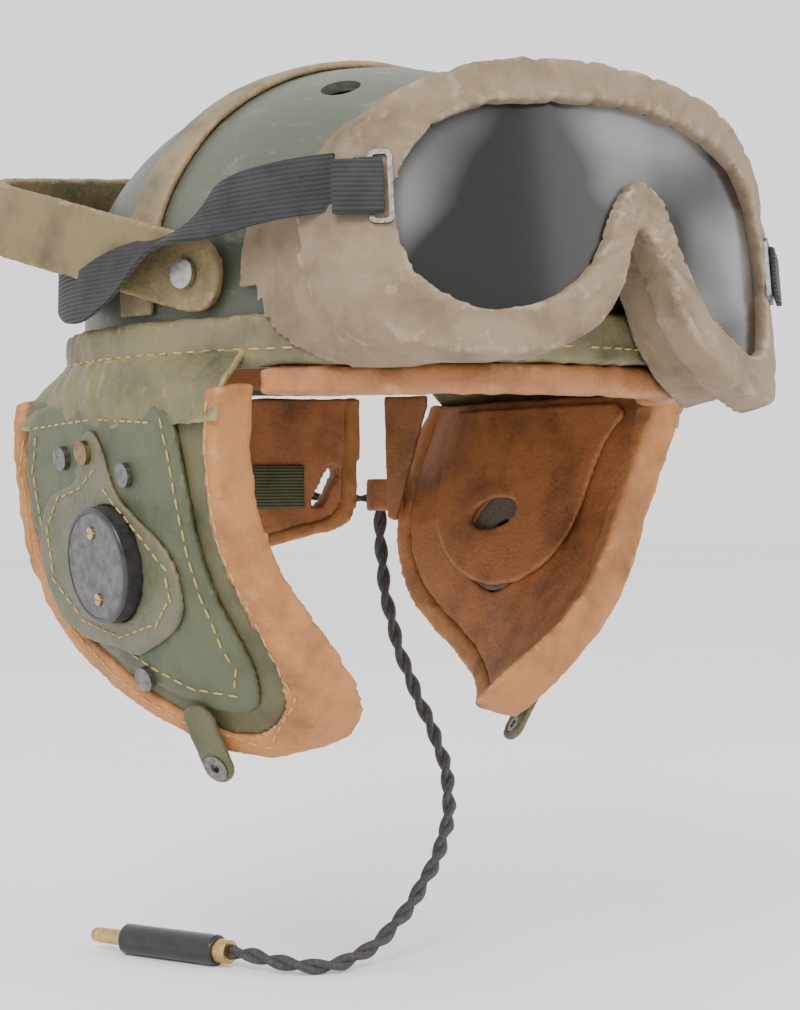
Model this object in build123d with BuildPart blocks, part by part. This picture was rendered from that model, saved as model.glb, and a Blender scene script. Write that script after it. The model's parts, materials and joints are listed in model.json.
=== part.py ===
from build123d import *
import os
from math import asin, cos, pi, radians, sin, sqrt, tan

# A tank crewman's crash helmet with goggles and a headphone cord, in millimetres.
# The origin is the middle of the head opening, in the plane of the brow rim.
# +Z runs up through the crown, the face looks along -Y, and the wearer's left is +X.

os.makedirs("parts", exist_ok=True)

# ---- driving dimensions ----------------------------------------------------------
half_width = 105.0
half_length = 128.0
skirt_height = 31.0
dome_rise = 91.0
shell_thickness = 4.0
seam_gap = 0.3

band_height = 18.0
band_stand = 7.0

strap_width = 20.0
strap_middle = -4.0
strap_thickness = 3.0
strap_bottom = 21.0

snap_y = -39.0
snap_z = 34.0
post_radius = 3.0
retainer_slope = 15.7
retainer_width = 27.0
retainer_ply = 4.0

flap_reach = 105.0
hinge_height = -7.0
flap_half = 6.0
leather = 2.0
patch_thickness = 3.0
curl_angle = radians(41.0)
curl_start = 60.0
curl_radius = 100.0
right_lean = 7.0
left_lean = 16.0

ear_y = 14.0
ear_z = -69.0
receiver_radius = 22.0
receiver_stand = 18.0
button_radius = 4.6

guard_half_width = 66.0
guard_depth = 62.0

goggle_radius = 140.0
goggle_front = -157.0
goggle_height = 46.0
goggle_tilt = 11.0
goggle_roll = 5.7
rim_outside = 6.0
rim_inside = 8.0

elastic_radius = 3.0
ear_cord_radius = 2.2
cord_radius = 3.2
plug_radius = 6.3
plug_length = 48.0
floor = -235.0


def save(part, name):
    part.label = name
    export_step(part, f"parts/{name}.step")


def both_sides(part, name):
    """Write a right-hand piece and its mirror image, neither of which swings."""
    save(part, f"right_{name}")
    save(mirror(part, about=Plane.YZ), f"left_{name}")


# ---- shell and what is sewn to it ------------------------------------------------
def dome_solid(grow, bottom, rise=dome_rise):
    """The helmet's full outer form, grown outward, from a level up to the crown."""
    reach = half_length + grow
    with BuildPart(mode=Mode.PRIVATE) as form:
        with BuildSketch(Plane.XZ):
            with BuildLine():
                Polyline((0, skirt_height + rise + grow), (0, bottom), (reach, bottom), (reach, skirt_height))
                EllipticalCenterArc((0, skirt_height), reach, rise + grow, 0, arc_size=90)
            make_face()
        revolve(axis=Axis.Z)
    return scale(form.part, by=((half_width + grow) / reach, 1, 1))


def dome_point(share, angle):
    """A point on the dome at a share of its radius, at an angle from the front, and its slope."""
    x = half_width * share * sin(radians(angle))
    y = -half_length * share * cos(radians(angle))
    z = skirt_height + dome_rise * sqrt(1 - share**2)
    slope = (x / half_width**2, y / half_length**2, (z - skirt_height) / dome_rise**2)
    return Plane(origin=(x, y, z), z_dir=slope)


def plan_ring(outer, inner, bottom, top):
    """A level ring that follows the helmet's plan between two growths."""
    with BuildPart(mode=Mode.PRIVATE) as ring:
        with BuildSketch(Plane.XY.offset(bottom)):
            Ellipse(half_width + outer, half_length + outer)
            Ellipse(half_width + inner, half_length + inner, mode=Mode.SUBTRACT)
        extrude(amount=top - bottom)
    return ring.part


vent_radius = 7.5
vent_share = 0.585
vent_angles = (15, 49, 112, 140, 167)
snap_wall = half_width * sqrt(1 - (snap_y / half_length) ** 2)

shell_outside = dome_solid(0, 0)
shell_inside = dome_solid(-shell_thickness, -1)
with BuildPart() as shell:
    add(shell_outside)
    add(shell_inside, mode=Mode.SUBTRACT)
    for angle in [turn * side for turn in vent_angles for side in (1, -1)]:
        with Locations(dome_point(vent_share, angle)):
            Cylinder(vent_radius, 24, mode=Mode.SUBTRACT)
    with Locations(Plane(origin=(0, snap_y, snap_z), z_dir=(1, 0, 0))):
        Cylinder(post_radius + 0.05, 2 * half_width + 20, mode=Mode.SUBTRACT)
save(shell.part, "shell")

strap_outside = dome_solid(strap_thickness + seam_gap, strap_bottom)
strap_inside = dome_solid(seam_gap, 0)
with BuildPart() as crown_strap:
    with Locations((0, strap_middle, 75)):
        Box(260, strap_width, 120)
    add(strap_outside, mode=Mode.INTERSECT)
    add(strap_inside, mode=Mode.SUBTRACT)
save(crown_strap.part, "crown_strap")

with BuildPart() as brow_band:
    add(plan_ring(band_stand, seam_gap / 2, 0.5, band_height))
save(brow_band.part, "brow_band")

with BuildPart() as sweatband:
    add(plan_ring(-shell_thickness - seam_gap, -shell_thickness - seam_gap - leather, 2, 27))
save(sweatband.part, "sweatband")

brow_pad_end = -66.0
with BuildPart() as brow_pad:
    with Locations((0, brow_pad_end - 100, -5)):
        Box(300, 200, 20)
    add(plan_ring(5, -6, -10, -0.2), mode=Mode.INTERSECT)
save(brow_pad.part, "brow_pad")

# Six cloth tongues hang inside the shell as a cradle, drawn in by a lace at the top.
cradle_rise = 68.0
cradle_grow = -shell_thickness - leather - 1.0
cradle_outside = dome_solid(cradle_grow, 12, cradle_rise)
cradle_inside = dome_solid(cradle_grow - 1.5, 11, cradle_rise)
with BuildPart() as cradle_tongues:
    with BuildSketch(Plane.XY):
        for angle in (0, 60, 120):
            Rectangle(300, 26, rotation=angle)
        Circle(17, mode=Mode.SUBTRACT)
    extrude(amount=130)
    add(cradle_outside, mode=Mode.INTERSECT)
    add(cradle_inside, mode=Mode.SUBTRACT)
save(cradle_tongues.part, "cradle_tongues")

lace_height = skirt_height + cradle_rise + cradle_grow - 1
with BuildPart() as cradle_lace:
    with Locations((0, 0, lace_height)):
        Torus(14.8, 1.4)
save(cradle_lace.part, "cradle_lace")

with BuildPart() as crown_pad:
    with BuildSketch(Plane.XY.offset(lace_height + 3)):
        Ellipse(30, 36)
    extrude(amount=8)
    fillet(crown_pad.edges(), 2)
save(crown_pad.part, "crown_pad")

post_tip = snap_wall + 0.9
with BuildPart() as retainer_posts:
    for side in (-1, 1):
        outward = Plane(origin=(side * (snap_wall - 8), snap_y, snap_z), z_dir=(side, 0, 0))
        with BuildSketch(outward):
            Circle(post_radius)
        extrude(amount=post_tip - snap_wall + 8)
        with BuildSketch(outward):
            Circle(post_radius + 3)
        extrude(amount=1.5)
save(retainer_posts.part, "retainer_posts")

# A leather tongue hangs from the rim on each side, between the ear flap and the neck guard.
tongue_front = Vector(-86.0, 73.0, -1.0)
tongue_rear = Vector(-75.5, 90.0, -1.0)
tongue_plane = Plane(
    origin=tongue_front,
    x_dir=tongue_rear - tongue_front,
    z_dir=(tongue_rear - tongue_front).cross(Vector(0, 0, 1)),
)
with BuildPart() as rear_tongue:
    with BuildSketch(tongue_plane):
        Polygon((0, 0), (20, 0), (19, -54), (15, -56), (0, -4), align=None)
    extrude(amount=1.4, both=True)
both_sides(rear_tongue.part, "rear_tongue")

# ---- goggle retainer: a stiff two-ply leather loop that swings on two snaps ---------
leg_front = 99.2
leg_spread = 0.25
retainer_plane = Plane(
    origin=(0, snap_y, snap_z),
    x_dir=(1, 0, 0),
    z_dir=(0, -sin(radians(retainer_slope)), cos(radians(retainer_slope))),
)


def along_slope(y):
    return (y - snap_y) / cos(radians(retainer_slope))


leg_points = [
    (leg_front + retainer_ply / 2, along_slope(snap_y - retainer_width / 2)),
    (leg_front + retainer_ply / 2 + leg_spread * 127, along_slope(73)),
    (0, along_slope(134)),
]
route = leg_points + [(-x, y) for x, y in reversed(leg_points[:-1])]
with BuildPart() as goggle_retainer:
    with BuildSketch(retainer_plane):
        with BuildLine():
            FilletPolyline(*route, radius=[28, 80, 28])
        trace(line_width=retainer_ply)
    extrude(amount=retainer_width / 2, both=True)
    end_corners = [edge for edge in goggle_retainer.edges() if abs(edge.length - retainer_ply) < 0.1]
    fillet(end_corners, retainer_width / 2 - 0.2)
    with Locations(Plane(origin=(0, snap_y, snap_z), z_dir=(1, 0, 0))):
        Cylinder(post_radius + 0.4, 260, mode=Mode.SUBTRACT)
save(goggle_retainer.part, "goggle_retainer")

cap_reach = leg_front + retainer_ply + leg_spread * 15 + 0.8
with BuildPart() as retainer_caps:
    for side in (-1, 1):
        facing = Plane(origin=(side * cap_reach, snap_y, snap_z), z_dir=(side, -leg_spread, 0))
        with BuildSketch(facing.offset(-0.1)):
            Circle(5.4)
        extrude(amount=1.9)
save(retainer_caps.part, "retainer_caps")

# ---- neck guard: a padded leather curtain that swings up at the back ----------------
guard_corner = 14.0
guard_top = -1.5


def guard_outline(grow):
    """The guard seen from behind, as a sketch in X and Z."""
    with BuildSketch(Plane.XZ) as outline:
        with BuildLine():
            half = guard_half_width + grow
            edge = -guard_depth + guard_corner
            Polyline((-half + 2, edge), (-half, guard_top), (half, guard_top), (half - 2, edge))
            RadiusArc((half - 2, edge), (half - 2 - guard_corner, edge - guard_corner - grow), guard_corner)
            ThreePointArc(
                (half - 2 - guard_corner, edge - guard_corner - grow),
                (0, -guard_depth - 9 - grow),
                (-half + 2 + guard_corner, edge - guard_corner - grow),
            )
            RadiusArc((-half + 2 + guard_corner, edge - guard_corner - grow), (-half + 2, edge), guard_corner)
        make_face()
    return outline.sketch


def guard_layer(outer, inner, outline, cut=None):
    """The part of a plan ring behind an outline, with an inner outline cut away if given."""
    with BuildPart() as layer:
        extrude(outline, amount=200, dir=(0, 1, 0))
        if cut is not None:
            extrude(cut, amount=200, dir=(0, 1, 0), mode=Mode.SUBTRACT)
        add(plan_ring(outer, inner, -90, 0), mode=Mode.INTERSECT)
    return layer.part


def slot_cut(part):
    """Cut the slanted buckle slots through a layer near the guard's two ends."""
    with BuildPart() as piece:
        add(part)
        with BuildSketch(Plane.XZ):
            for side in (-1, 1):
                with Locations((side * 54, -41)):
                    SlotOverall(20, 5, rotation=90 - side * 22)
        extrude(amount=-200, mode=Mode.SUBTRACT)
    return piece.part


save(slot_cut(guard_layer(5, -1, guard_outline(-4.2))), "neck_guard_pad")
save(slot_cut(guard_layer(-1, -3, guard_outline(-4.2))), "neck_guard_lining")
with BuildSketch(Plane.XZ) as webbing_outline:
    with Locations((0, -41)):
        Rectangle(90, 20)
save(guard_layer(-3, -4.5, webbing_outline.sketch), "neck_guard_webbing")
save(guard_layer(6, -4.2, guard_outline(0), guard_outline(-4.2)), "neck_guard_binding")

# ---- ear flaps -----------------------------------------------------------------
# A flap hangs flat from its hinge, then curls inward past a slanting line, so that it
# cups the jaw. Every layer of it follows the same curve at its own distance outward.
down_slant = Vector(0, -sin(curl_angle), -cos(curl_angle))
flap_section = Plane(
    origin=(-flap_reach, 0, 0),
    x_dir=(-1, 0, 0),
    z_dir=(0, -cos(curl_angle), sin(curl_angle)),
)


def curved_slab(inner, outer):
    """The space between two distances outward of the right flap's middle surface."""
    sweep_angle = 74
    with BuildPart(mode=Mode.PRIVATE) as slab:
        with BuildSketch(flap_section):
            with BuildLine():
                bend = (-curl_radius, curl_start)
                outer_arc = CenterArc(bend, curl_radius + outer, 0, sweep_angle)
                inner_arc = CenterArc(bend, curl_radius + inner, 0, sweep_angle)
                Line(outer_arc @ 1, inner_arc @ 1)
                Polyline(inner_arc @ 0, (inner, -140), (outer, -140), outer_arc @ 0)
            make_face()
        extrude(amount=170, both=True)
    return slab.part


def on_flap(y, z, outward):
    """The plane that lies on the right flap at a point and faces outward."""
    run = -y * sin(curl_angle) - z * cos(curl_angle) - curl_start
    lean = asin(max(run, 0) / curl_radius)
    normal = Vector(-cos(lean), 0, 0) + down_slant * sin(lean)
    middle = Vector(-flap_reach + curl_radius * (1 - cos(lean)), y, z)
    return Plane(origin=middle + normal * outward, x_dir=(0, -1, 0), z_dir=normal)


def closed_outline(points, top=None):
    """A smooth closed outline in Y and Z; with a top, it is cut off level there."""
    with BuildSketch(Plane.YZ) as outline:
        with BuildLine():
            Spline(*points, periodic=True)
        make_face()
        if top is not None:
            with Locations((0, top + 50)):
                Rectangle(400, 100, mode=Mode.SUBTRACT)
    return outline.sketch


def flap_layer(inner, outer, outline, cut=None, holes=()):
    """A layer of the right flap: an outline between two distances outward."""
    with BuildPart() as layer:
        extrude(outline, amount=170, dir=(-1, 0, 0))
        if cut is not None:
            extrude(cut, amount=170, dir=(-1, 0, 0), mode=Mode.SUBTRACT)
        add(curved_slab(inner, outer), mode=Mode.INTERSECT)
        for y, z, radius in holes:
            with Locations(on_flap(y, z, 0)):
                Cylinder(radius, 80, mode=Mode.SUBTRACT)
    return layer.part


flap_points = [
    (-66, -8), (-60, -34), (-59, -62), (-64, -92), (-61, -122), (-36, -144), (-5, -135),
    (34, -116), (68, -96), (89, -66), (91, -34), (80, 0), (8, 14),
]
field_points = [
    (-58, -8), (-52, -34), (-51, -62), (-56, -92), (-54, -117), (-34, -135), (-4, -126),
    (30, -108), (61, -90), (80, -64), (82, -34), (72, 0), (8, 14),
]
patch_points = [
    (-37, -19), (-41, -48), (-45, -82), (-48, -110), (-40, -124), (-18, -122), (26, -104),
    (58, -86), (74, -62), (77, -34), (70, -15), (18, -12), (-28, -12),
]
cover_points = [
    (16, -22), (22, -19), (28, -24), (34, -36), (52, -42), (67, -56), (66, -80), (42, -98),
    (13, -102), (4, -103.5), (-4, -101), (-16, -96), (-28, -86), (-29, -70), (-12, -55), (8, -40),
]
ear_cover_points = [
    (-48, -18), (-36, -46), (-30, -68), (-12, -84), (8, -89), (34, -84), (56, -66), (62, -34),
    (60, -12), (6, -10), (-40, -10),
]
upper_snap = (24, -27)
loose_studs = ((44, -29), (-2, -36))
lower_stud = (5, -111)
receiver = (ear_y, ear_z, receiver_radius + 0.2)

field = closed_outline(field_points, hinge_height)
whole = closed_outline(flap_points, hinge_height)
patch_outline = closed_outline(patch_points)
cover_outline = closed_outline(cover_points)
ear_cover_outline = closed_outline(ear_cover_points, hinge_height - 4)
with BuildSketch(Plane.YZ) as ear_hole:
    with Locations((20, -58)):
        Ellipse(15, 7, rotation=-8)

patch_face = flap_half + patch_thickness
cover_face = patch_face + leather
buttons = [(*upper_snap, 2.0), *[(*stud, 2.0) for stud in loose_studs], (*lower_stud, 2.0)]


def buttons_at(places, radius, low, high):
    """Round snap parts that stand on the right flap between two distances outward."""
    with BuildPart() as pieces:
        for y, z in places:
            with BuildSketch(on_flap(y, z, low)):
                Circle(radius)
            extrude(amount=high - low)
    return pieces.part


def receiver_case():
    """The headphone receiver: a capsule in the flap with a flange cap outside the cover."""
    with BuildPart() as case:
        with BuildSketch(on_flap(ear_y, ear_z, -flap_half)):
            Circle(receiver_radius)
        extrude(amount=receiver_stand + flap_half)
        fillet(case.edges().filter_by(GeomType.CIRCLE).sort_by(Axis.X)[0], 1.2)
        with BuildSketch(on_flap(ear_y, ear_z, receiver_stand)):
            Circle(receiver_radius - 2.2)
        extrude(amount=-1, mode=Mode.SUBTRACT)
    return case.part


def receiver_plate():
    with BuildPart() as plate:
        with BuildSketch(on_flap(ear_y, ear_z, receiver_stand - 1)):
            Circle(receiver_radius - 2.3)
            with Locations((0, 12.5), (0, -12.5)):
                Circle(2.4, mode=Mode.SUBTRACT)
        extrude(amount=0.8)
    return plate.part


def receiver_screws():
    with BuildPart() as screws:
        with BuildSketch(on_flap(ear_y, ear_z, receiver_stand - 1)):
            with Locations((0, 12.5), (0, -12.5)):
                Circle(2.3)
        extrude(amount=1.6)
        with BuildSketch(on_flap(ear_y, ear_z, receiver_stand + 0.6)):
            with Locations((0, 12.5), (0, -12.5)):
                Rectangle(5, 0.7)
        extrude(amount=-0.7, mode=Mode.SUBTRACT)
    return screws.part


def ear_cushion():
    """A felt ring around the receiver's mouth, under the inner ear cover."""
    with BuildPart() as ring:
        with BuildSketch(on_flap(ear_y, ear_z, -flap_half)):
            Circle(receiver_radius)
            Circle(9, mode=Mode.SUBTRACT)
        extrude(amount=-leather)
    return ring.part


tab_y, tab_z = -15.0, -119.0
tab_length = 32.0


def chin_tab():
    """A leather tab with an eyelet hole, hung from the patch's lower edge."""
    with BuildPart() as tab:
        with BuildSketch(on_flap(tab_y, tab_z, patch_face + 0.6)):
            with Locations((0, -tab_length / 2)):
                SlotOverall(tab_length, 14, rotation=90)
            with Locations((0, -tab_length + 6.5)):
                Circle(3.6, mode=Mode.SUBTRACT)
        extrude(amount=leather + 0.4)
    return tab.part


def chin_eyelet():
    with BuildPart() as eyelet:
        with BuildSketch(on_flap(tab_y, tab_z, patch_face + 0.6)):
            with Locations((0, -tab_length + 6.5)):
                Circle(3.6)
                Circle(1.8, mode=Mode.SUBTRACT)
        extrude(amount=leather + 0.4)
        with BuildSketch(on_flap(tab_y, tab_z, patch_face + leather + 1)):
            with Locations((0, -tab_length + 6.5)):
                Circle(5.2)
                Circle(1.8, mode=Mode.SUBTRACT)
        extrude(amount=0.8)
    return eyelet.part


cover_inside = -flap_half - leather - 0.9
flap_pieces = {
    "flap_pad": flap_layer(-flap_half, flap_half, field, holes=[receiver]),
    "flap_lining": flap_layer(-flap_half - leather, -flap_half, field, holes=[receiver]),
    "flap_binding": flap_layer(-flap_half - leather - 0.5, flap_half + 1, whole, cut=field),
    "flap_patch": flap_layer(flap_half, patch_face, patch_outline, holes=[receiver]),
    "receiver_cover": flap_layer(patch_face, cover_face, cover_outline, holes=[receiver]),
    "receiver_case": receiver_case(),
    "receiver_plate": receiver_plate(),
    "receiver_screws": receiver_screws(),
    "ear_cushion": ear_cushion(),
    "cover_snap": buttons_at([upper_snap], button_radius, cover_face, cover_face + 2.2),
    "patch_studs": buttons_at([*loose_studs, lower_stud], button_radius, patch_face, patch_face + 2.6),
    "ear_cover": flap_layer(cover_inside - leather, cover_inside, ear_cover_outline, ear_hole.sketch),
    "chin_tab": chin_tab(),
    "chin_eyelet": chin_eyelet(),
}
hinge_line = Axis((-flap_reach, 0, hinge_height), (0, 1, 0))
for name, piece in flap_pieces.items():
    # The flap leans inward as it hangs; turning its lower edge towards +X is a negative turn.
    save(piece.rotate(hinge_line, -right_lean), f"right_{name}")
    save(mirror(piece.rotate(hinge_line, -left_lean), about=Plane.YZ), f"left_{name}")

# ---- goggles -------------------------------------------------------------------
# They are drawn upright, with the nose notch at the origin and the face behind them
# at +Y, then set on the helmet's front, tilted back and rolled to the wearer's left.
goggle_place = Location((0, goggle_front, goggle_height)) * Rotation(0, goggle_roll, 0) * Rotation(-goggle_tilt, 0, 0)

rim_outer_half = [(0, -3), (9, -16), (20, -36), (36, -47), (60, -51), (85, -46), (99, -27), (102, 0), (95, 27),
                  (74, 44), (40, 52.5), (0, 54)]
rim_inner_half = [(0, 14), (8, 9), (16, -7), (28, -24), (40, -32), (58, -36), (76, -29), (85, -10), (84, 11),
                  (72, 28), (40, 38), (0, 41)]


def mirrored_outline(half):
    """A smooth closed outline in X and Z, from its +X half."""
    with BuildSketch(Plane.XZ) as outline:
        with BuildLine():
            Spline(*half, *[(-x, z) for x, z in reversed(half[1:-1])], periodic=True)
        make_face()
    return outline.sketch


def lens_wall(outside, inside):
    """An upright cylindrical wall about the goggles' lens curve."""
    with BuildPart(mode=Mode.PRIVATE) as wall:
        with BuildSketch(Plane.XY.offset(-80)):
            with Locations((0, goggle_radius)):
                Circle(goggle_radius + outside)
                Circle(goggle_radius - inside, mode=Mode.SUBTRACT)
            with Locations((0, 100 + goggle_radius)):
                Rectangle(400, 2 * goggle_radius - 90, mode=Mode.SUBTRACT)
        extrude(amount=160)
    return wall.part


rim_outer = mirrored_outline(rim_outer_half)
rim_inner = mirrored_outline(rim_inner_half)


def through(outline, length):
    """An outline pushed straight back from in front of the goggles."""
    with BuildPart(mode=Mode.PRIVATE) as prism:
        extrude(Pos(0, -20, 0) * outline, amount=length, dir=(0, 1, 0))
    return prism.part


rim_prism = through(rim_outer, 140)
window_prism = through(rim_inner, 140)
rim_slab = lens_wall(rim_outside, rim_inside)
lens_slab = lens_wall(1, 1)
with BuildPart() as goggle_rim:
    add(rim_prism)
    add(window_prism, mode=Mode.SUBTRACT)
    add(rim_slab, mode=Mode.INTERSECT)
save(goggle_rim.part.moved(goggle_place), "goggle_rim")

with BuildPart() as goggle_lens:
    add(rim_prism)
    add(lens_slab, mode=Mode.INTERSECT)
    add(goggle_rim.part, mode=Mode.SUBTRACT)
save(goggle_lens.part.moved(goggle_place), "goggle_lens")

# The skirt is a soft rubber wall that seals the rim against the dome and the face.


def between_outlines(share):
    """The outline that lies a share of the way from the rim's inner edge to its outer edge."""
    pairs = zip(rim_outer_half, rim_inner_half)
    return mirrored_outline([(share * a + (1 - share) * c, share * b + (1 - share) * d) for (a, b), (c, d) in pairs])


skirt_rear = -58.0
skirt_outside = through(between_outlines(0.62), 160)
skirt_inside = through(between_outlines(0.42), 170)
behind_rim = lens_wall(-rim_inside, goggle_radius - 1)
dome_clearance = dome_solid(0.8, 0)
band_clearance = plan_ring(band_stand + 1.2, -100, -40, band_height + 10)
with BuildPart() as skirt_tube:
    add(skirt_outside)
    add(behind_rim, mode=Mode.INTERSECT)
    add(skirt_inside, mode=Mode.SUBTRACT)
with BuildPart() as goggle_skirt:
    add(skirt_tube.part.moved(goggle_place))
    add(dome_clearance, mode=Mode.SUBTRACT)
    add(band_clearance, mode=Mode.SUBTRACT)
    with Locations((0, skirt_rear + 100, 0)):
        Box(400, 200, 400, mode=Mode.SUBTRACT)
save(goggle_skirt.part, "goggle_skirt")


def on_rim(x, z, stand):
    """The plane that lies on the goggles' rim at a point and faces outward."""
    lean = asin(x / goggle_radius)
    reach = goggle_radius + stand
    return Plane(
        origin=(reach * sin(lean), goggle_radius - reach * cos(lean), z),
        x_dir=(cos(lean), sin(lean), 0),
        z_dir=(sin(lean), -cos(lean), 0),
    )


elastic_width = 19.0
loop_x = 86.0
loop_z = 5.0
wire = 1.6
with BuildPart() as strap_loops:
    for side in (-1, 1):
        with BuildSketch(on_rim(side * loop_x, loop_z, rim_outside + 0.1)):
            RectangleRounded(5 + 2 * wire, elastic_width + 3 + 2 * wire, 2.4)
            RectangleRounded(5, elastic_width + 3, 1.2, mode=Mode.SUBTRACT)
        extrude(amount=wire)
save(strap_loops.part.moved(goggle_place), "strap_loops")

end_inner = rim_outside + wire + 0.2
with BuildPart() as strap_ends:
    for side in (-1, 1):
        with BuildSketch(on_rim(side * loop_x, loop_z, end_inner)):
            with Locations((side * 7.5, 0)):
                Rectangle(17, elastic_width)
        extrude(amount=leather)
save(strap_ends.part.moved(goggle_place), "strap_ends")

# ---- soft lines: straight runs joined by tangent arcs -------------------------------


def soft_line(points, radius, name):
    """A round line along a route, with the largest bend each corner has room for."""
    corners = [Vector(*point) for point in points]
    runs = [b - a for a, b in zip(corners, corners[1:])]
    bends = []
    for before, after in zip(runs, runs[1:]):
        half_turn = radians(before.get_angle(after)) / 2
        bends.append(0.45 * min(before.length, after.length) / tan(half_turn))
    with BuildPart() as line:
        with BuildLine() as path:
            FilletPolyline(*points, radius=bends)
        with BuildSketch(Plane(origin=points[0], z_dir=runs[0])):
            Circle(radius)
        sweep(path=path.line)
    length = path.wire().length
    swept = line.part.volume / (pi * radius**2 * length)
    print(f"{name}: length {length:.1f}, tightest bend {min(bends):.1f}, volume ratio {swept:.4f}")
    return line.part


elastic_right = [(-106.5, -109, 57), (-110, -75, 55.5), (-111.5, -45, 49), (-120.5, -8, 35.5), (-119.5, 22, 27),
                 (-108, 55, 37), (-84, 92, 44), (-48, 123, 46), (0, 136.5, 47)]
elastic_left = [(48, 123, 46), (84, 92, 44), (108, 55, 37), (119.5, 22, 27), (120.5, -8, 34.5), (114, -45, 43),
                (110, -75, 41), (106.5, -109, 39)]
save(soft_line(elastic_right + elastic_left, elastic_radius, "elastic_strap"), "elastic_strap")

# The two ear cords and the headset cord meet in a keeper sewn to the left rear tongue.
keeper_x, keeper_y = 79.5, 100.0
keeper_top, keeper_bottom = -38.0, -52.0
keeper_radius = 6.0
with BuildPart() as cord_keeper:
    with BuildSketch(Plane.XY.offset(keeper_bottom)):
        Polygon((80.9, 84.0), (77.3, 89.9), (74.8, 98.2), (84.6, 97.2), (81.8, 85.6), align=None)
        with Locations((keeper_x, keeper_y)):
            Circle(keeper_radius)
    extrude(amount=keeper_top - keeper_bottom)
save(cord_keeper.part, "cord_keeper")

ear_cord_height = -46.0
right_ear_route = [(-98, 94, -40), (-80, 108, -39), (-50, 131, -40), (0, 142, -42), (46, 131.5, -44),
                   (69, 118, ear_cord_height), (76.6, 105.4, ear_cord_height)]
save(soft_line(right_ear_route, ear_cord_radius, "right_ear_cord"), "right_ear_cord")
left_ear_route = [(94, 93.6, -28), (92, 99, -38), (85.6, 100.6, -44)]
save(soft_line(left_ear_route, ear_cord_radius, "left_ear_cord"), "left_ear_cord")

lying = floor + cord_radius
plug_axis_height = floor + plug_radius
headset_route = [
    (keeper_x, keeper_y, keeper_bottom), (keeper_x, keeper_y, -70), (79, 95.2, -93.2), (80.1, 84.3, -120.7),
    (81, 67.2, -144.7), (78, 50.6, -162.1), (68.4, 35.2, -180.5), (53.8, 23.5, -194.7), (36, 15.6, -209.7),
    (17.6, 10.5, -222.8), (0.4, 8.3, -230.3), (-14, 7, lying), (-26, 14, lying),
    (-34, 28.5, plug_axis_height), (-39.2, 42.5, plug_axis_height),
]
save(soft_line(headset_route, cord_radius, "headset_cord"), "headset_cord")

collar_length = 6.0
shank_length = 14.0
plug_line = Plane(origin=headset_route[-1], z_dir=Vector(*headset_route[-1]) - Vector(*headset_route[-2]))
with BuildPart() as plug_collar:
    with BuildSketch(plug_line):
        Circle(cord_radius + 1.6)
    extrude(amount=collar_length)
save(plug_collar.part, "plug_collar")
with BuildPart() as plug_body:
    with BuildSketch(plug_line.offset(collar_length)):
        Circle(plug_radius)
    extrude(amount=plug_length)
    fillet(plug_body.edges(), 1)
save(plug_body.part, "plug_body")
with BuildPart() as plug_tip:
    with BuildSketch(plug_line.offset(collar_length + plug_length)):
        Circle(3.2)
    extrude(amount=shank_length)
    with Locations(plug_line.offset(collar_length + plug_length + shank_length + 1.5)):
        Sphere(3.1)
save(plug_tip.part, "plug_tip")
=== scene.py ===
import json
from math import asin, atan2, cos, exp, pi, radians, sin, sqrt

import bpy
from mathutils import Matrix, Vector, noise
from mathutils.bvhtree import BVHTree


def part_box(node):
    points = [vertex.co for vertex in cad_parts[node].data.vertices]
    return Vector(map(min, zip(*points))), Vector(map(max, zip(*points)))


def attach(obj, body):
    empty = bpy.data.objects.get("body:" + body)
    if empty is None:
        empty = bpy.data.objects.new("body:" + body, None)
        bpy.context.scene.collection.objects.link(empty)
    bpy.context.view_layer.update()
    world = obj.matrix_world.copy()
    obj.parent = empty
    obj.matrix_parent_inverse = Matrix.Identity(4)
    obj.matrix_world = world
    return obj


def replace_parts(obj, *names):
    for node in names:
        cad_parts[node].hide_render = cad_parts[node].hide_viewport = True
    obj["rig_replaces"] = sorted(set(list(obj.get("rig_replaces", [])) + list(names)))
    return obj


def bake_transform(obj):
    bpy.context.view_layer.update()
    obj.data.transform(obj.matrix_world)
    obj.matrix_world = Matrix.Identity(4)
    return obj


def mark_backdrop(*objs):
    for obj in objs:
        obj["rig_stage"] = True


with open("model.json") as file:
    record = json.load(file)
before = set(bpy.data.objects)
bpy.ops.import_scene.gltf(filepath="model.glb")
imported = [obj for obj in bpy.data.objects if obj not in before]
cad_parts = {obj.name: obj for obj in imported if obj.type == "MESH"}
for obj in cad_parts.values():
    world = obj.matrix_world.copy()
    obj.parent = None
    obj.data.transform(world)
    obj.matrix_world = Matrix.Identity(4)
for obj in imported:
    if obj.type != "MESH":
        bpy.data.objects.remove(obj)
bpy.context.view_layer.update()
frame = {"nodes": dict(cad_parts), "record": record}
mm = 0.001

# ---- camera ----------------------------------------------------------------------
camera_data = bpy.data.cameras.new("camera")
camera_data.sensor_fit = "HORIZONTAL"
camera_data.sensor_width = 36
camera_data.lens = 99.44
camera_data.clip_start = 0.05
camera = bpy.data.objects.new("camera", camera_data)
bpy.context.scene.collection.objects.link(camera)
right = Vector((0.80076, -0.59893, -0.00794))
up = Vector((0.00920, -0.00096, 0.99996))
back = -Vector((0.59891, 0.80080, -0.00474))
place = Matrix((right, up, back)).transposed().to_4x4()
place.translation = Vector((-516.08, -711.56, -44.90)) * mm
camera.matrix_world = place
bpy.context.scene.camera = camera


# ---- materials -------------------------------------------------------------------
def new_material(name):
    material = bpy.data.materials.new(name)
    material.use_nodes = True
    nodes = material.node_tree.nodes
    return material, nodes, material.node_tree.links, nodes["Principled BSDF"]


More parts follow.
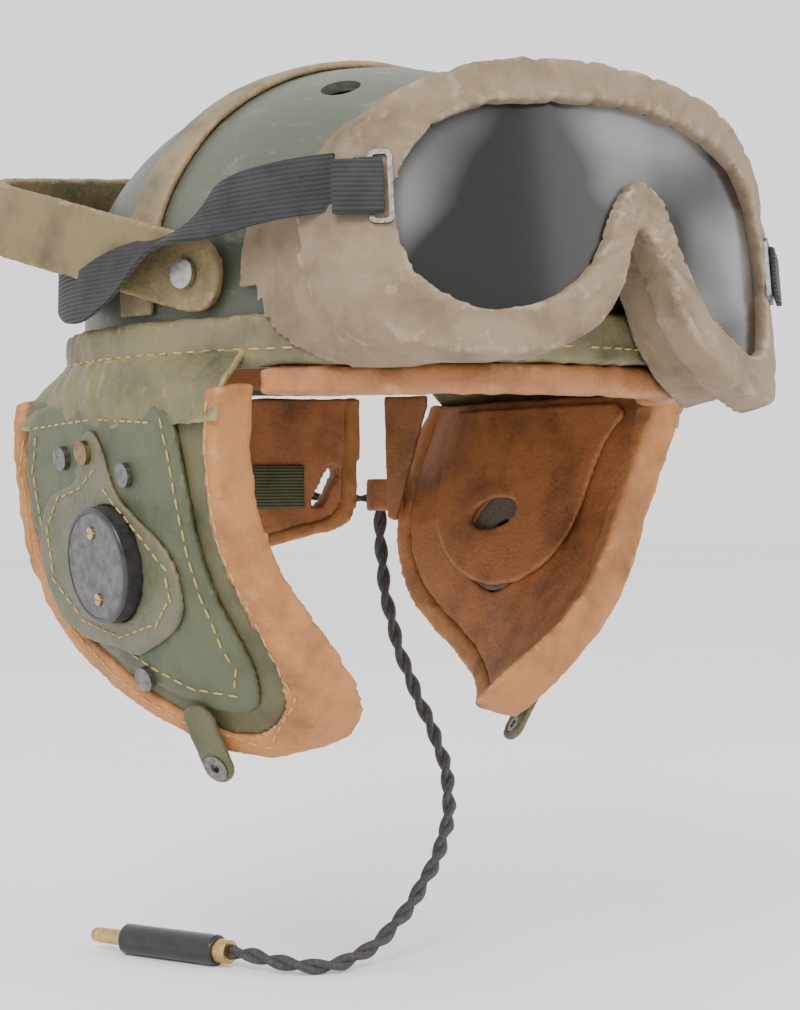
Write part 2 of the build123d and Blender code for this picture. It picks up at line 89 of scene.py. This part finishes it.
def add_noise(nodes, links, scale, detail=6, roughness=0.6, stretch=None):
    """A noise texture in the object's own space, in features per metre."""
    source = nodes.new("ShaderNodeTexCoord")
    texture = nodes.new("ShaderNodeTexNoise")
    texture.inputs["Scale"].default_value = scale
    texture.inputs["Detail"].default_value = detail
    texture.inputs["Roughness"].default_value = roughness
    if stretch is None:
        links.new(source.outputs["Object"], texture.inputs["Vector"])
        return texture.outputs["Fac"]
    mapping = nodes.new("ShaderNodeMapping")
    mapping.inputs["Scale"].default_value = stretch
    links.new(source.outputs["Object"], mapping.inputs["Vector"])
    links.new(mapping.outputs["Vector"], texture.inputs["Vector"])
    return texture.outputs["Fac"]


def ramp(nodes, links, factor, stops):
    band = nodes.new("ShaderNodeValToRGB")
    elements = band.color_ramp.elements
    elements[0].position, elements[0].color = stops[0][0], (*stops[0][1], 1)
    elements[1].position, elements[1].color = stops[-1][0], (*stops[-1][1], 1)
    for position, color in stops[1:-1]:
        elements.new(position).color = (*color, 1)
    links.new(factor, band.inputs["Fac"])
    return band.outputs["Color"]


def mix(nodes, links, factor, first, second):
    blend = nodes.new("ShaderNodeMix")
    blend.data_type = "RGBA"
    links.new(factor, blend.inputs["Factor"])
    links.new(first, blend.inputs["A"])
    links.new(second, blend.inputs["B"])
    return blend.outputs["Result"]


def finish_material(nodes, links, shader, color, height, bump, rough, rough_spread=0.15, distance=0.0006):
    links.new(color, shader.inputs["Base Color"])
    bumping = nodes.new("ShaderNodeBump")
    bumping.inputs["Strength"].default_value = bump
    bumping.inputs["Distance"].default_value = distance
    links.new(height, bumping.inputs["Height"])
    links.new(bumping.outputs["Normal"], shader.inputs["Normal"])
    spread = nodes.new("ShaderNodeMapRange")
    spread.inputs["To Min"].default_value = rough - rough_spread
    spread.inputs["To Max"].default_value = min(1, rough + rough_spread)
    links.new(height, spread.inputs["Value"])
    links.new(spread.outputs["Result"], shader.inputs["Roughness"])


def leather(name, dark, main, light, wear=0.35, rough=0.55, bump=0.8):
    """Old leather: mottled, finely creased, and rubbed pale where the noise is high and on edges."""
    material, nodes, links, shader = new_material(name)
    mottle = ramp(nodes, links, add_noise(nodes, links, 45), [(0.3, dark), (0.55, main), (0.8, main)])
    rubbed = add_noise(nodes, links, 110, detail=9, roughness=0.72)
    edge = nodes.new("ShaderNodeNewGeometry")
    worn = nodes.new("ShaderNodeMath")
    worn.operation = "ADD"
    sharp = nodes.new("ShaderNodeMapRange")
    sharp.inputs["From Min"].default_value = 0.50
    sharp.inputs["From Max"].default_value = 0.60
    sharp.inputs["To Max"].default_value = 0.30
    links.new(edge.outputs["Pointiness"], sharp.inputs["Value"])
    links.new(rubbed, worn.inputs[0])
    links.new(sharp.outputs["Result"], worn.inputs[1])
    start = 0.86 - wear
    mask = ramp(nodes, links, worn.outputs["Value"], [(start, (0, 0, 0)), (start + 0.22, (0.85, 0.85, 0.85))])
    pale = nodes.new("ShaderNodeRGB")
    pale.outputs[0].default_value = (*light, 1)
    color = mix(nodes, links, mask, mottle, pale.outputs[0])
    grain = nodes.new("ShaderNodeTexVoronoi")
    grain.inputs["Scale"].default_value = 620
    source = nodes.new("ShaderNodeTexCoord")
    links.new(source.outputs["Object"], grain.inputs["Vector"])
    height = nodes.new("ShaderNodeMath")
    height.operation = "MULTIPLY_ADD"
    height.inputs[1].default_value = 0.35
    links.new(grain.outputs["Distance"], height.inputs[0])
    links.new(rubbed, height.inputs[2])
    finish_material(nodes, links, shader, color, height.outputs["Value"], bump, rough)
    return material


def paint(name, dark, main, light, rough=0.45):
    """Satin paint with pale rubbed scuffs and fine streaks."""
    material, nodes, links, shader = new_material(name)
    base = ramp(nodes, links, add_noise(nodes, links, 16), [(0.3, dark), (0.7, main)])
    streak = add_noise(nodes, links, 60, detail=10, roughness=0.75, stretch=(1, 1, 2.4))
    mask = ramp(nodes, links, streak, [(0.55, (0, 0, 0)), (0.72, (0.75, 0.75, 0.75))])
    pale = nodes.new("ShaderNodeRGB")
    pale.outputs[0].default_value = (*light, 1)
    color = mix(nodes, links, mask, base, pale.outputs[0])
    finish_material(nodes, links, shader, color, streak, 0.25, rough, 0.12, 0.0004)
    return material


def speckled(name, main, second, scale, metallic=0.0, rough=0.4, bump=0.3, detail=5):
    """A hard or woven surface with a second tone scattered through it."""
    material, nodes, links, shader = new_material(name)
    grain = add_noise(nodes, links, scale, detail=detail)
    color = ramp(nodes, links, grain, [(0.35, main), (0.72, second)])
    shader.inputs["Metallic"].default_value = metallic
    finish_material(nodes, links, shader, color, grain, bump, rough)
    return material


def ribbed(name, main, second, pitch, direction):
    """Woven or ribbed webbing: fine ribs one way over a soft mottle."""
    material, nodes, links, shader = new_material(name)
    source = nodes.new("ShaderNodeTexCoord")
    wave = nodes.new("ShaderNodeTexWave")
    wave.bands_direction = direction
    wave.inputs["Scale"].default_value = 0.314 / pitch
    wave.inputs["Distortion"].default_value = 0.5
    links.new(source.outputs["Object"], wave.inputs["Vector"])
    color = ramp(nodes, links, add_noise(nodes, links, 90), [(0.35, main), (0.75, second)])
    finish_material(nodes, links, shader, color, wave.outputs["Fac"], 0.7, 0.75)
    return material


def lens(name):
    """Old tinted plastic: dark and glossy, with broad pale patches of painted reflection and fine dust."""
    material, nodes, links, shader = new_material(name)
    # painted reflection: broad pale patches mixed into the lens colour stand in for light reflected by the glossy
    # plastic
    painted_reflection = add_noise(nodes, links, 13, detail=1.5, roughness=0.35, stretch=(1, 1, 1.5))
    color = ramp(nodes, links, painted_reflection, [(0.50, (0.012, 0.012, 0.011)), (0.66, (0.14, 0.14, 0.135))])
    dust = add_noise(nodes, links, 420, detail=8)
    finish_material(nodes, links, shader, color, dust, 0.06, 0.2, 0.06, 0.0002)
    shader.inputs["Specular IOR Level"].default_value = 0.28
    return material


materials = {
    "shell_paint": paint("shell_paint", (0.055, 0.064, 0.040), (0.085, 0.094, 0.062), (0.24, 0.235, 0.17)),
    "strap_leather": leather("strap_leather", (0.09, 0.07, 0.035), (0.20, 0.155, 0.08), (0.36, 0.21, 0.09), 0.26),
    "band_leather": leather("band_leather", (0.07, 0.06, 0.028), (0.15, 0.13, 0.06), (0.34, 0.24, 0.11), 0.24),
    "sweat_leather": leather("sweat_leather", (0.16, 0.06, 0.02), (0.34, 0.13, 0.04), (0.46, 0.24, 0.10), 0.2),
    "brow_leather": leather("brow_leather", (0.20, 0.075, 0.022), (0.38, 0.15, 0.048), (0.50, 0.28, 0.12), 0.22),
    "fold_leather": leather("fold_leather", (0.06, 0.055, 0.02), (0.14, 0.125, 0.05), (0.36, 0.26, 0.10), 0.27, 0.45, 1.0),
    "cradle_cloth": ribbed("cradle_cloth", (0.20, 0.17, 0.10), (0.30, 0.26, 0.17), 0.0012, "X"),
    "lace_cord": speckled("lace_cord", (0.30, 0.25, 0.16), (0.42, 0.36, 0.25), 900, 0, 0.9, 0.6),
    "crown_felt": speckled("crown_felt", (0.10, 0.09, 0.065), (0.18, 0.16, 0.12), 700, 0, 0.95, 0.8),
    "retainer_leather": leather("retainer_leather", (0.07, 0.055, 0.022), (0.165, 0.125, 0.05), (0.42, 0.26, 0.12), 0.25),
    "elastic_web": ribbed("elastic_web", (0.010, 0.010, 0.011), (0.028, 0.027, 0.026), 0.0016, "Z"),
    "goggle_rubber": leather("goggle_rubber", (0.12, 0.088, 0.05), (0.215, 0.16, 0.10), (0.36, 0.28, 0.19), 0.28, 0.85, 0.5),
    "dark_steel": speckled("dark_steel", (0.10, 0.095, 0.09), (0.24, 0.23, 0.22), 400, 0.9, 0.38),
    "bright_steel": speckled("bright_steel", (0.30, 0.29, 0.27), (0.52, 0.51, 0.49), 260, 0.95, 0.3),
    "tongue_leather": leather("tongue_leather", (0.12, 0.05, 0.02), (0.30, 0.12, 0.04), (0.44, 0.22, 0.09), 0.22),
    "cord_rubber": speckled("cord_rubber", (0.022, 0.021, 0.021), (0.075, 0.07, 0.066), 700, 0, 0.75, 0.7),
    "plug_plastic": speckled("plug_plastic", (0.010, 0.010, 0.010), (0.022, 0.022, 0.022), 120, 0, 0.22, 0.1),
    "plug_brass": speckled("plug_brass", (0.40, 0.25, 0.08), (0.62, 0.46, 0.22), 300, 0.95, 0.32),
    "flap_leather": leather("flap_leather", (0.042, 0.042, 0.014), (0.088, 0.082, 0.032), (0.30, 0.21, 0.09), 0.2),
    "lining_leather": leather("lining_leather", (0.15, 0.052, 0.016), (0.36, 0.13, 0.038), (0.50, 0.24, 0.09), 0.2),
    "binding_leather": leather("binding_leather", (0.22, 0.085, 0.025), (0.40, 0.165, 0.05), (0.50, 0.27, 0.12), 0.24, 0.7),
    "patch_leather": leather("patch_leather", (0.035, 0.045, 0.018), (0.065, 0.075, 0.032), (0.17, 0.14, 0.065), 0.17, 0.4),
    "cover_leather": leather("cover_leather", (0.06, 0.062, 0.032), (0.105, 0.10, 0.055), (0.32, 0.16, 0.06), 0.22, 0.4),
    "receiver_plastic": speckled("receiver_plastic", (0.010, 0.010, 0.011), (0.035, 0.034, 0.034), 160, 0, 0.3, 0.15),
    "receiver_metal": speckled("receiver_metal", (0.035, 0.032, 0.034), (0.13, 0.12, 0.12), 240, 0.1, 0.4, 0.2),
    "cushion_felt": speckled("cushion_felt", (0.09, 0.08, 0.06), (0.17, 0.15, 0.11), 700, 0, 0.95, 0.8),
    "snap_bronze": speckled("snap_bronze", (0.12, 0.08, 0.035), (0.36, 0.26, 0.12), 260, 0.9, 0.35),
    "guard_leather": leather("guard_leather", (0.12, 0.05, 0.02), (0.28, 0.12, 0.045), (0.42, 0.24, 0.11), 0.2),
    "webbing": ribbed("webbing", (0.045, 0.055, 0.02), (0.09, 0.095, 0.04), 0.0014, "Z"),
    "stitch_thread": speckled("stitch_thread", (0.32, 0.23, 0.06), (0.48, 0.37, 0.13), 900, 0, 0.8, 0.5),
    "lens_plastic": lens("lens_plastic"),
}


def dress(obj, slot_name, finish=None):
    """Give a piece the material named by its record slot, or another finish."""
    obj.data.materials.clear()
    obj.data.materials.append(materials[finish or slot_name])
    return obj


slots = {entry["node"]: entry["material_slot"] for entry in frame["record"]["subparts"]}
for node_name, node in frame["nodes"].items():
    dress(node, slots[node_name])


# ---- making soft pieces from the frame's solids ------------------------------------
def new_object(name, vertices, faces, smooth=True):
    mesh = bpy.data.meshes.new(name)
    mesh.from_pydata(vertices, [], faces)
    mesh.update()
    if smooth:
        mesh.shade_smooth()
    obj = bpy.data.objects.new(name, mesh)
    bpy.context.scene.collection.objects.link(obj)
    return obj


def bake(obj):
    """Turn an object's modifiers into plain vertices."""
    bpy.context.view_layer.update()
    mesh = bpy.data.meshes.new_from_object(obj.evaluated_get(bpy.context.evaluated_depsgraph_get()))
    obj.modifiers.clear()
    obj.data = mesh
    mesh.shade_smooth()
    return obj


def soft_copy(node_name, voxel, smoothing, swell=0.0, wrinkle=0.0, scale=60):
    """A rounded, slightly uneven copy of a solid: edges melt, faces crown and wrinkle."""
    node = frame["nodes"][node_name]
    mesh = node.data.copy()
    mesh.transform(node.matrix_world)
    obj = bpy.data.objects.new("soft_" + node_name, mesh)
    bpy.context.scene.collection.objects.link(obj)
    remesh = obj.modifiers.new("remesh", "REMESH")
    remesh.mode = "VOXEL"
    remesh.voxel_size = voxel * mm
    soften = obj.modifiers.new("soften", "SMOOTH")
    soften.iterations = smoothing
    soften.factor = 0.5
    bake(obj)
    normals = [vertex.normal.copy() for vertex in obj.data.vertices]
    for vertex, normal in zip(obj.data.vertices, normals):
        spot = vertex.co * scale
        crease = abs(noise.noise(spot)) + 0.5 * abs(noise.noise(spot * 2.3))
        vertex.co += normal * mm * (swell + wrinkle * (0.45 - crease))
    obj.data.update()
    dress(obj, slots[node_name])
    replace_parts(obj, node_name)
    return obj


dome_form = [("crown_strap", 1.2, 2, 0.0, 0.5, 60), ("brow_band", 1.7, 5, 0.2, 1.3, 75),
             ("sweatband", 1.2, 2, 0.0, 0.4, 50), ("brow_pad", 1.8, 6, 0.3, 1.4, 70),
             ("cradle_tongues", 1.0, 1, 0.1, 0.4, 40), ("crown_pad", 1.6, 6, 0.4, 0.6, 60),
             ("right_rear_tongue", 1.0, 2, 0.1, 0.5, 60), ("left_rear_tongue", 1.0, 2, 0.1, 0.5, 60),
             ("cord_keeper", 1.0, 4, 0.1, 0.5, 80)]
forms = {"dome": dome_form}
forms["retainer"] = [("goggle_retainer", 1.1, 3, 0.1, 0.5, 60)]
forms["neck_guard"] = [("neck_guard_pad", 1.5, 5, 0.2, 1.2, 50), ("neck_guard_lining", 1.1, 2, 0.1, 0.8, 50),
                       ("neck_guard_webbing", 0.9, 1, 0.1, 0.2, 60), ("neck_guard_binding", 1.2, 4, 0.3, 0.8, 80)]
for side in ("right", "left"):
    forms[side + "_flap"] = [(side + "_flap_pad", 1.8, 5, 0.0, 0.8, 50), (side + "_flap_lining", 1.1, 2, 0.1, 0.9, 45),
                             (side + "_flap_binding", 1.4, 7, 0.4, 1.2, 80), (side + "_flap_patch", 1.2, 4, 0.1, 0.7, 50),
                             (side + "_receiver_cover", 0.9, 3, 0.1, 0.4, 70), (side + "_ear_cushion", 1.0, 3, 0.0, 0.3, 90)]
    forms[side + "_ear_cover"] = [(side + "_ear_cover", 1.0, 2, 0.1, 0.7, 50)]
    forms[side + "_chin_tab"] = [(side + "_chin_tab", 0.8, 3, 0.1, 0.4, 90)]
soft = {}
for body, pieces in forms.items():
    for piece in pieces:
        soft[piece[0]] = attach(soft_copy(*piece), body)


# ---- goggles ---------------------------------------------------------------------
rim_center = sum((Vector(corner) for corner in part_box("goggle_rim")), Vector()) / 2


def pinch(obj, count, depth):
    """Press evenly spaced marks into a rubber ring, as moulded edges show after years."""
    normals = [vertex.normal.copy() for vertex in obj.data.vertices]
    for vertex, normal in zip(obj.data.vertices, normals):
        turn = atan2(vertex.co.z - rim_center.z, vertex.co.x - rim_center.x) / (2 * pi) * count
        off = (turn + 0.25 * noise.noise(vertex.co * 30)) % 1 - 0.5
        vertex.co -= normal * mm * depth * exp(-((off / 0.09) ** 2))
    obj.data.update()
    return obj


goggle_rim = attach(pinch(soft_copy("goggle_rim", 1.4, 6, 0.3, 0.8, 45), 22, 0.9), "goggles")
goggle_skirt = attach(pinch(soft_copy("goggle_skirt", 1.2, 3, 0.1, 0.6, 40), 22, 0.5), "goggles")
strap_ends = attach(soft_copy("strap_ends", 0.8, 2, 0.1, 0.2, 60), "goggles")


# ---- cords and the elastic strap -----------------------------------------------------
def route_points(points):
    """Points along a NURBS curve through a route given in millimetres, as a smooth path in metres."""
    curve = bpy.data.curves.new("route", "CURVE")
    curve.dimensions = "3D"
    curve.resolution_u = 10
    spline = curve.splines.new("NURBS")
    spline.points.add(len(points) - 1)
    for knot, point in zip(spline.points, points):
        knot.co = (*[value * mm for value in point], 1)
    spline.order_u = 3
    spline.use_endpoint_u = True
    obj = bpy.data.objects.new("route", curve)
    bpy.context.scene.collection.objects.link(obj)
    bpy.context.view_layer.update()
    mesh = obj.evaluated_get(bpy.context.evaluated_depsgraph_get()).to_mesh()
    path = [vertex.co.copy() for vertex in mesh.vertices]
    bpy.data.objects.remove(obj)
    return path


def along(path, step):
    """A path's points again, evenly spaced, with its direction at each."""
    lengths = [0.0]
    for a, b in zip(path, path[1:]):
        lengths.append(lengths[-1] + (b - a).length)
    count = max(2, round(lengths[-1] / step))
    places, index = [], 0
    for i in range(count + 1):
        target = lengths[-1] * i / count
        while index < len(path) - 2 and lengths[index + 1] < target:
            index += 1
        share = (target - lengths[index]) / max(1e-9, lengths[index + 1] - lengths[index])
        places.append(path[index].lerp(path[index + 1], share))
    directions = [(places[min(i + 1, count)] - places[max(i - 1, 0)]).normalized() for i in range(count + 1)]
    return places, directions, lengths[-1]


def twisted_cord(name, points, radius, pitch):
    """Two strands laid round each other along a route; returns the piece, its path and its length."""
    places, directions, length = along(route_points(points), 0.8 * mm)
    strand, sides = 0.56 * radius * mm, 10
    vertices, faces = [], []
    side_vector = directions[0].orthogonal().normalized()
    for phase in (0, pi):
        first = len(vertices)
        for i, (spot, way) in enumerate(zip(places, directions)):
            side_vector = (side_vector - way * side_vector.dot(way)).normalized()
            other = way.cross(side_vector)
            turn = 2 * pi * length * i / (len(places) - 1) / (pitch * mm) + phase
            middle = spot + (side_vector * cos(turn) + other * sin(turn)) * (radius * mm - strand)
            for k in range(sides):
                a = 2 * pi * k / sides
                vertices.append(middle + (side_vector * cos(a) + other * sin(a)) * strand)
        for i in range(len(places) - 1):
            for k in range(sides):
                a, b = first + i * sides + k, first + i * sides + (k + 1) % sides
                faces.append((a, b, b + sides, a + sides))
        faces.append(tuple(first + k for k in reversed(range(sides))))
        last = first + (len(places) - 1) * sides
        faces.append(tuple(last + k for k in range(sides)))
    return new_object(name, vertices, faces), places, length


headset_route = [
    (79.5, 100, -52), (79.5, 100, -70), (79, 95.2, -93.2), (80.1, 84.3, -120.7), (81, 67.2, -144.7),
    (78, 50.6, -162.1), (68.4, 35.2, -180.5), (53.8, 23.5, -194.7), (36, 15.6, -209.7), (17.6, 10.5, -222.8),
    (0.4, 8.3, -230.3), (-14, 7, -231.8), (-26, 14, -231.8), (-34, 28.5, -228.7), (-39.2, 42.5, -228.7),
]
right_ear_route = [(-98, 94, -40), (-80, 108, -39), (-50, 131, -40), (0, 142, -42), (46, 131.5, -44),
                   (69, 118, -46), (76.6, 105.4, -46)]
left_ear_route = [(94, 93.6, -28), (92, 99, -38), (85.6, 100.6, -44)]
headset, headset_path, headset_length = twisted_cord("headset_cord_visual", headset_route, 3.2, 26)
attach(dress(headset, "cord_rubber"), "dome")
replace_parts(headset, "headset_cord")
right_ear_cord, _, _ = twisted_cord("right_ear_cord_visual", right_ear_route, 2.2, 18)
left_ear_cord, _, _ = twisted_cord("left_ear_cord_visual", left_ear_route, 2.2, 18)
for obj, side, route in ((right_ear_cord, "right", right_ear_route), (left_ear_cord, "left", left_ear_route)):
    dress(obj, "cord_rubber")
    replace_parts(obj, side + "_ear_cord")
    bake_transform(obj)

elastic_right = [(-101, -122, 57), (-106.5, -109, 57), (-110, -75, 55.5), (-111.5, -45, 49), (-120.5, -8, 35.5), (-119.5, 22, 27),
                 (-108, 55, 37), (-84, 92, 44), (-48, 123, 46), (0, 136.5, 47)]
elastic_left = [(48, 123, 46), (84, 92, 44), (108, 55, 37), (119.5, 22, 27), (120.5, -8, 34.5), (114, -45, 43),
                (110, -75, 41), (106.5, -109, 39), (101, -122, 39)]


def flat_strap(name, points, width, thick):
    """A flat web along a route, its face turned away from the head."""
    places, directions, _ = along(route_points(points), 1.5 * mm)
    vertices, faces = [], []
    for spot, way in zip(places, directions):
        outward = Vector((spot.x / 105**2, spot.y / 128**2, 0)).normalized()
        across = way.cross(outward).normalized() * width * mm / 2
        turn = radians(62) * exp(-(((spot.y / mm + 38) / 24) ** 2)) if spot.x < 0 else 0
        across = Matrix.Rotation(turn, 3, way) @ across
        lift = across.cross(way).normalized() * thick * mm / 2
        vertices += [spot + across + lift, spot - across + lift, spot - across - lift, spot + across - lift]
    for i in range(len(places) - 1):
        for k in range(4):
            a, b = 4 * i + k, 4 * i + (k + 1) % 4
            faces.append((a, b, b + 4, a + 4))
    faces += [(3, 2, 1, 0), tuple(4 * (len(places) - 1) + k for k in range(4))]
    return new_object(name, vertices, faces, smooth=False)


elastic = dress(flat_strap("elastic_strap_visual", elastic_right + elastic_left, 19, 1.6), "elastic_web")
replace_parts(elastic, "elastic_strap")
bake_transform(elastic)

# ---- the soft fold that joins each flap to the brow band ------------------------------
lean = {"right": radians(7), "left": radians(16)}
for side, sign in (("right", -1), ("left", 1)):
    columns, rows = 90, 22
    vertices, faces = [], []
    for i in range(columns + 1):
        y = -64 + 144 * i / columns
        rim = 110.5 * sqrt(max(0.05, 1 - (y / 134) ** 2))
        for k in range(rows + 1):
            share = k / rows
            top, low = rim, 111.5 - 14 * sin(lean[side])
            x = top + (low - top) * share + 3.2 * sin(pi * share)
            z = 5 - 24 * share
            crease = 1.6 * noise.noise(Vector((y * 0.11, z * 0.05, sign))) + 0.8 * noise.noise(Vector((y * 0.3, z * 0.2, sign)))
            vertices.append(Vector((sign * (x + crease), y, z)) * mm)
    for i in range(columns):
        for k in range(rows):
            a = i * (rows + 1) + k
            quad = (a, a + 1, a + rows + 2, a + rows + 1)
            faces.append(quad if sign > 0 else quad[::-1])
    fold = new_object(side + "_fold", vertices, faces)
    wall = fold.modifiers.new("wall", "SOLIDIFY")
    wall.thickness = 2.2 * mm
    wall.offset = 1
    bake(fold)
    dress(fold, "flap_leather", "fold_leather")
    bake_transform(fold)


# ---- stitching -------------------------------------------------------------------
def stitches(name, body, target, points, ray, closed=True, gap=5.6, long=4.4):
    """A row of thread stitches, laid on a piece where rays from outside meet it."""
    tree = BVHTree.FromPolygons([target.matrix_world @ v.co for v in target.data.vertices],
                                [tuple(p.vertices) for p in target.data.polygons])
    hits = []
    loop = points + [points[0]] if closed else points
    for a, b in zip(loop, loop[1:]):
        steps = max(1, round((Vector(b) - Vector(a)).length / gap))
        for i in range(steps):
            spot, normal, _, _ = tree.ray_cast(*ray(Vector(a).lerp(Vector(b), i / steps)))
            if spot is not None:
                hits.append((spot, normal))
    vertices, faces = [], []
    for (spot, normal), (following, _) in zip(hits, hits[1:]):
        way = following - spot
        if way.length > 2.2 * gap * mm or way.length < 1e-5:
            continue
        way = (way - normal * way.dot(normal)).normalized()
        across = normal.cross(way)
        first = len(vertices)
        for share, size in ((-0.5, 0.15), (-0.3, 1), (0.3, 1), (0.5, 0.15)):
            middle = spot + way * long * share * mm + normal * 0.18 * mm
            for a in range(6):
                vertices.append(middle + (across * cos(pi * a / 3) + normal * sin(pi * a / 3)) * 0.42 * size * mm)
        for ring in range(3):
            for a in range(6):
                one, two = first + ring * 6 + a, first + ring * 6 + (a + 1) % 6
                faces.append((one, two, two + 6, one + 6))
    obj = new_object(name, vertices, faces)
    dress(obj, slots[target["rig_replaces"][0]], "stitch_thread")
    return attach(obj, body)


patch_row = [(-31, -19), (-35, -48), (-39, -82), (-42, -109), (-36, -118), (-18, -116), (24, -99), (54, -82), (69, -60),
             (71, -34), (64, -18), (18, -16)]
binding_row = [(-60, -14), (-55, -34), (-54, -62), (-59, -92), (-57, -119), (-36, -138), (-6, -130), (31, -112),
               (64, -93), (83, -65), (85, -34), (76, -10)]
cover_row = [(20, -36), (32, -42), (50, -46), (61, -58), (60, -78), (40, -93), (13, -98), (-13, -92), (-24, -82),
             (-24, -71), (-10, -60), (8, -47)]
for side, sign in (("right", -1), ("left", 1)):
    shrink = cos(lean[side])
    rows = (("flap_patch", patch_row, True), ("flap_binding", binding_row, False), ("receiver_cover", cover_row, True))
    for piece, row, closed in rows:
        stitches(f"{side}_{piece}_stitches", side + "_flap", soft[f"{side}_{piece}"], row,
                 lambda p: (Vector((sign * 170, p[0], -7 + (p[1] + 7) * shrink)) * mm, Vector((-sign, 0, 0))), closed)
brow_row = [(114 * sin(2 * pi * i / 120), -137 * cos(2 * pi * i / 120)) for i in range(120)]
stitches("brow_stitches", "dome", soft["brow_band"], brow_row,
         lambda p: (Vector((1.3 * p[0], 1.3 * p[1], 6)) * mm, -Vector((p[0], p[1], 0)).normalized()))

# ---- light and ground --------------------------------------------------------------
world = bpy.data.worlds.new("world")
world.use_nodes = True
world.node_tree.nodes["Background"].inputs["Color"].default_value = (1, 1, 1, 1)
world.node_tree.nodes["Background"].inputs["Strength"].default_value = 1.5
bpy.context.scene.world = world


def softbox(name, position, size, power):
    light = bpy.data.lights.new(name, "AREA")
    light.size = size
    light.energy = power
    lamp = bpy.data.objects.new(name, light)
    bpy.context.scene.collection.objects.link(lamp)
    lamp.location = position
    lamp.rotation_euler = (Vector((0, 0, -0.05)) - Vector(position)).to_track_quat("-Z", "Y").to_euler()
    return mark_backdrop(lamp)


softbox("key_light", (-1.3, -0.9, 1.3), 0.8, 30)
softbox("fill_light", (0.9, -1.4, 0.7), 1.2, 14)
floor_level = -235 * mm
ground = new_object("ground", [Vector((x, y, floor_level)) for x, y in ((-6, -6), (6, -6), (6, 6), (-6, 6))], [(0, 1, 2, 3)])
ground.data.materials.append(speckled("ground_paper", (0.92, 0.92, 0.92), (0.95, 0.95, 0.95), 3, 0, 0.9, 0.02))
